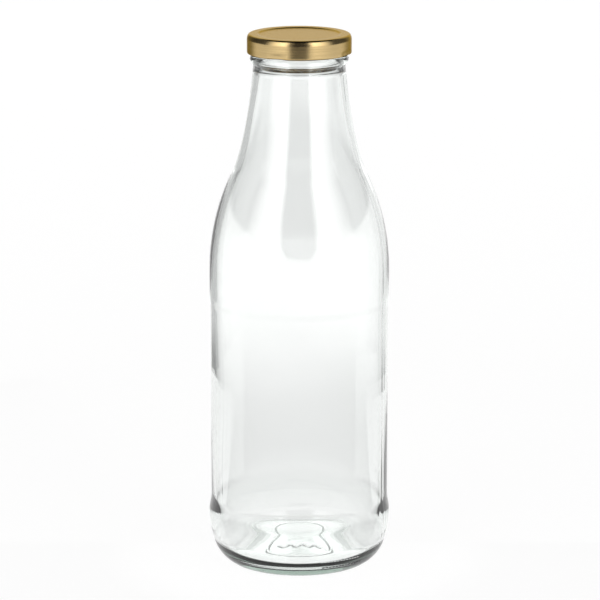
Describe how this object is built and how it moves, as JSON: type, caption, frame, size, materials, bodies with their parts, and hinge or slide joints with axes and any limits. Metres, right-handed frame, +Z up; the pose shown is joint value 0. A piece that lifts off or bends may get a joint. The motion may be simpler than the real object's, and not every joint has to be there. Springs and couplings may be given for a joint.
{
  "type": "glass milk bottle",
  "caption": "Tall round clear glass milk bottle with a sloping shoulder, a long tapered neck and a gold tin lid that unscrews.",
  "frame": {"origin": "on the bottle's axis, on the plane that it stands on", "axes": "+Z up along the axis; the bottle is round, and +X and +Y each point along a thread ramp's middle"},
  "size_m": [0.0898, 0.0898, 0.2636],
  "materials": {
    "clear_glass": "clear, smooth, very slightly grey-green where thick",
    "lacquered_tin": "gold lacquer over tinplate, satin, fine rolling grain",
    "seal_compound": "soft cream compound, smooth"
  },
  "bodies": {
    "bottle": {"glass_bottle": "clear_glass"},
    "seal": {"lid_seal": "seal_compound"},
    "lid": {"lid_shell": "lacquered_tin"}
  },
  "joints": [
    {"name": "lid_lift", "type": "slide", "parent": "bottle", "child": "seal", "axis": [0, 0, 1], "range_m": [0, 0.01588]},
    {"name": "lid_turn", "type": "hinge", "parent": "seal", "child": "lid", "pos_m": [0, 0, 0.26], "axis": [0, 0, 1], "range_deg": [0, 450]}
  ],
  "couplings": [
    {"joint": "lid_lift", "follows": "lid_turn", "m_per_rad": 0.0020213}
  ]
}
